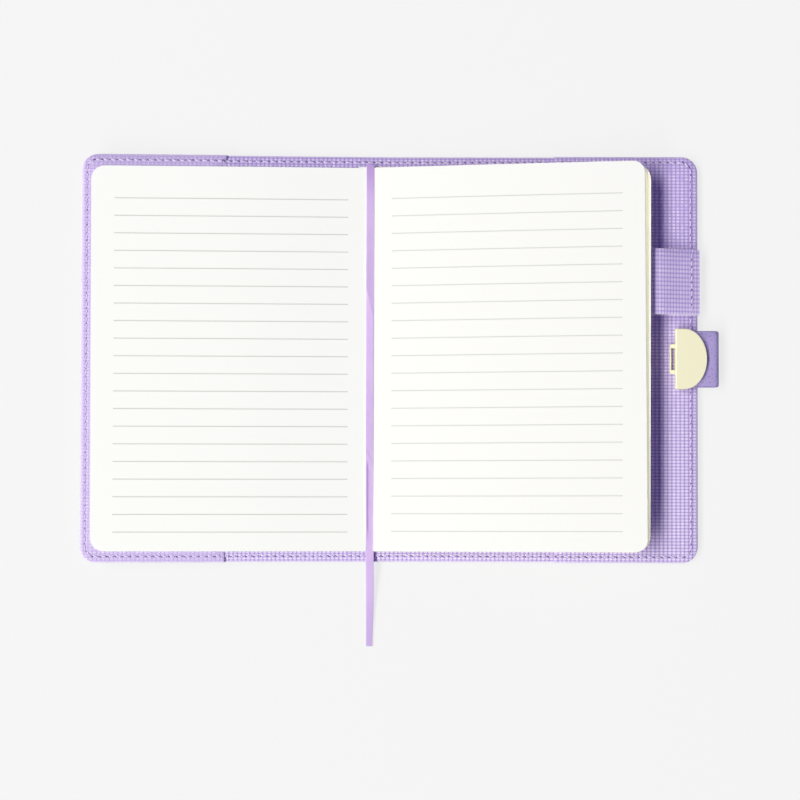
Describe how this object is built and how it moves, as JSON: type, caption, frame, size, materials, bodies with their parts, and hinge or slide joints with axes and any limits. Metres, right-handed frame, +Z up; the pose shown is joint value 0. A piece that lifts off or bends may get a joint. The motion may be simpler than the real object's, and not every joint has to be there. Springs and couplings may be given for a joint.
{
  "type": "lockable diary",
  "caption": "Refillable diary lying open: embossed slip-on cover with pockets, ruled notebook, ribbon marker, pen loop and a strap whose clasp tongue locks into a key lock on the front.",
  "frame": {"origin": "middle of the bottom of the open diary, without its ribbon marker", "axes": "+X from the front cover to the back cover, +Y up the page, +Z up from the table"},
  "size_m": [0.2444, 0.1885, 0.0125],
  "materials": {
    "cover": "satin",
    "strap": "satin",
    "board": "matte",
    "padding": "matte",
    "card": "matte",
    "paper": "matte",
    "glue": "matte",
    "ribbon": "satin",
    "gold": "satin",
    "steel": "satin"
  },
  "bodies": {
    "back_cover": {"back_outer_skin": "cover", "back_board": "board", "back_lining": "cover", "back_pocket": "cover", "spine_skin": "cover", "spine_padding": "padding", "spine_lining": "cover", "strap_root": "strap"},
    "page_block": {"back_card": "card", "binding_glue": "glue", "ribbon_marker": "ribbon", "signature_1": "paper", "signature_2": "paper", "signature_3": "paper", "signature_4": "paper", "signature_5": "paper"},
    "front_cover": {"front_outer_skin": "cover", "front_board": "board", "front_lining": "cover", "front_pocket": "cover", "lock_case": "gold", "lock_base_plate": "steel", "lock_backing_plate": "steel", "lock_rivets": "steel", "latch_spring": "steel"},
    "first_leaves": {"front_card": "card", "left_leaves": "paper"},
    "turning_leaf": {"top_leaf": "paper"},
    "pen_loop_band": {"pen_loop": "cover"},
    "strap_a": {"strap_lower": "strap"},
    "strap_b": {"strap_fold": "strap"},
    "strap_c": {"strap_upper": "strap"},
    "clasp": {"strap_end": "strap", "clasp_face": "gold", "clasp_back_plate": "steel", "clasp_tongue": "gold", "clasp_rivets": "steel"},
    "key_barrel": {"key_plug": "steel"},
    "latch": {"latch_bolt": "steel"}
  },
  "joints": [
    {"name": "cover_close", "type": "hinge", "parent": "back_cover", "child": "front_cover", "pos_m": [-0.00404, 0, 0.00827], "axis": [0, 1, 0], "range_deg": [0, 178], "deforming": ["spine_skin", "spine_padding", "spine_lining"]},
    {"name": "leaves_slide", "type": "slide", "parent": "front_cover", "child": "first_leaves", "axis": [0.9994, 0, -0.0348], "range_m": [0, 0.01]},
    {"name": "block_slide", "type": "slide", "parent": "back_cover", "child": "page_block", "axis": [1, 0, 0], "range_m": [0, 0.0055]},
    {"name": "page_turn", "type": "hinge", "parent": "page_block", "child": "turning_leaf", "pos_m": [-0.01134, 0, 0.004], "axis": [0, 1, 0], "range_deg": [-170, 0], "deforming": ["top_leaf"]},
    {"name": "pen_loop_fold", "type": "hinge", "parent": "back_cover", "child": "pen_loop_band", "pos_m": [0.11445, 0.0293, 0.003], "axis": [0, 1, 0], "range_deg": [0, 90]},
    {"name": "strap_lift", "type": "hinge", "parent": "back_cover", "child": "strap_a", "pos_m": [0.11495, 0, 0.0012], "axis": [0, -1, 0], "range_deg": [0, 90]},
    {"name": "strap_unfold", "type": "hinge", "parent": "strap_a", "child": "strap_b", "pos_m": [0.12165, 0, 0.0012], "axis": [0, -1, 0], "range_deg": [-90, 0]},
    {"name": "strap_straighten", "type": "hinge", "parent": "strap_b", "child": "strap_c", "pos_m": [0.12165, 0, 0.0043], "axis": [0, -1, 0], "range_deg": [-90, 0]},
    {"name": "clasp_level", "type": "hinge", "parent": "strap_c", "child": "clasp", "pos_m": [0.1142, 0, 0.0043], "axis": [0, -1, 0], "range_deg": [0, 90]},
    {"name": "key_turn", "type": "hinge", "parent": "front_cover", "child": "key_barrel", "pos_m": [-0.10703, 0, 0.00018], "axis": [-0.0348, 0, -0.9994], "range_deg": [-90, 0]},
    {"name": "latch_slide", "type": "slide", "parent": "front_cover", "child": "latch", "axis": [-0.0348, 0, -0.9994], "range_m": [-0.0008, 0], "deforming": ["latch_spring"]}
  ],
  "couplings": [
    {"joint": "leaves_slide", "follows": "cover_close", "m_per_rad": 0.003218},
    {"joint": "block_slide", "follows": "cover_close", "m_per_rad": 0.00177},
    {"joint": "pen_loop_fold", "follows": "cover_close", "ratio": 0.5056},
    {"joint": "strap_unfold", "follows": "strap_lift", "ratio": -1},
    {"joint": "strap_straighten", "follows": "strap_lift", "ratio": -1},
    {"joint": "clasp_level", "follows": "strap_lift", "ratio": 1},
    {"joint": "key_turn", "follows": "latch_slide", "rad_per_m": 1963.4}
  ]
}
